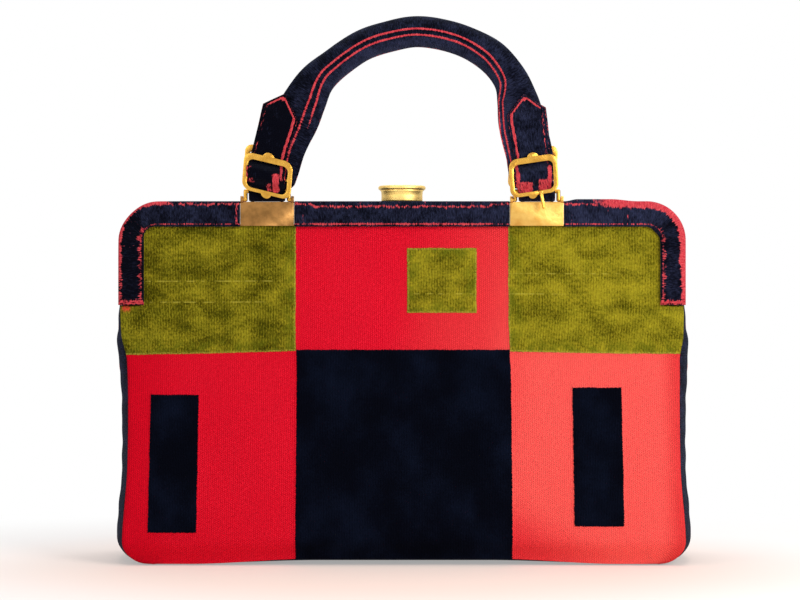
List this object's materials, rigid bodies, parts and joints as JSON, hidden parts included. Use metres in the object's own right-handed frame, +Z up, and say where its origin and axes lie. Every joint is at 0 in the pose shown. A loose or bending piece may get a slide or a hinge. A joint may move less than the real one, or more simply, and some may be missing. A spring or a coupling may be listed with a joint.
{
  "type": "frame handbag",
  "caption": "Structured velvet top-handle handbag on a hinged metal frame, with padded roll handle, buckled straps and round push lock.",
  "frame": {"origin": "on the table under the middle of the closed bag", "axes": "+Z up, front of the bag looks towards -Y, +X to the right seen from the front"},
  "size_m": [0.3074, 0.0872, 0.2905],
  "materials": {
    "figured_velvet": "cut velvet, green and navy pile on a ribbed red ground",
    "navy_velvet": "navy velvet pile with the red ground showing at edges",
    "brass": "polished",
    "frame_metal": "satin",
    "spring_steel": "satin",
    "board": "matt",
    "lining": "plain lining twill"
  },
  "bodies": {
    "bag_body": {"front_panel": "figured_velvet", "back_panel": "figured_velvet", "gusset": "navy_velvet", "base_board": "board", "lining": "lining", "hinge_rivet_left": "brass", "hinge_rivet_right": "brass"},
    "front_frame": {"front_frame_rail": "frame_metal", "front_cover_left": "navy_velvet", "front_cover_centre": "navy_velvet", "front_cover_right": "navy_velvet", "left_plate": "brass", "right_plate": "brass", "catch_tongue": "spring_steel"},
    "back_frame": {"back_frame_rail": "frame_metal", "back_cover": "navy_velvet", "lock_collar": "brass", "lock_spring": "spring_steel"},
    "lock_button": {"lock_button": "brass", "lock_latch": "brass"},
    "bails": {"left_bail": "brass", "right_bail": "brass"},
    "handle": {"handle_roll": "navy_velvet", "left_strap": "navy_velvet", "right_strap": "navy_velvet", "left_front_buckle": "brass", "left_back_buckle": "brass", "right_front_buckle": "brass", "right_back_buckle": "brass"},
    "buckle_tongue": {"right_buckle_tongue": "brass"}
  },
  "joints": [
    {"name": "front_frame_hinge", "type": "hinge", "parent": "bag_body", "child": "front_frame", "pos_m": [0, 0, 0.1433], "axis": [1, 0, 0], "range_deg": [0, 32], "deforming": ["front_panel", "gusset", "lining", "catch_tongue"]},
    {"name": "back_frame_hinge", "type": "hinge", "parent": "bag_body", "child": "back_frame", "pos_m": [0, 0, 0.1433], "axis": [1, 0, 0], "range_deg": [-32, 0], "deforming": ["back_panel"]},
    {"name": "lock_press", "type": "slide", "parent": "back_frame", "child": "lock_button", "axis": [0, 0, -1], "range_m": [0, 0.002], "stiffness_N_per_m": 500, "springref_m": -0.001, "deforming": ["lock_spring"]},
    {"name": "bail_hinge", "type": "hinge", "parent": "front_frame", "child": "bails", "pos_m": [0, -0.0124, 0.19265], "axis": [1, 0, 0], "range_deg": [-32, 34]},
    {"name": "handle_swing", "type": "hinge", "parent": "bails", "child": "handle", "pos_m": [0, -0.0124, 0.19715], "axis": [1, 0, 0], "range_deg": [-10, 10]},
    {"name": "tongue_hinge", "type": "hinge", "parent": "handle", "child": "buckle_tongue", "pos_m": [0.07513, -0.01735, 0.19632], "axis": [-0.989, 0, -0.1478], "range_deg": [0, 150]}
  ],
  "couplings": [
    {"joint": "back_frame_hinge", "follows": "front_frame_hinge", "ratio": -1}
  ]
}
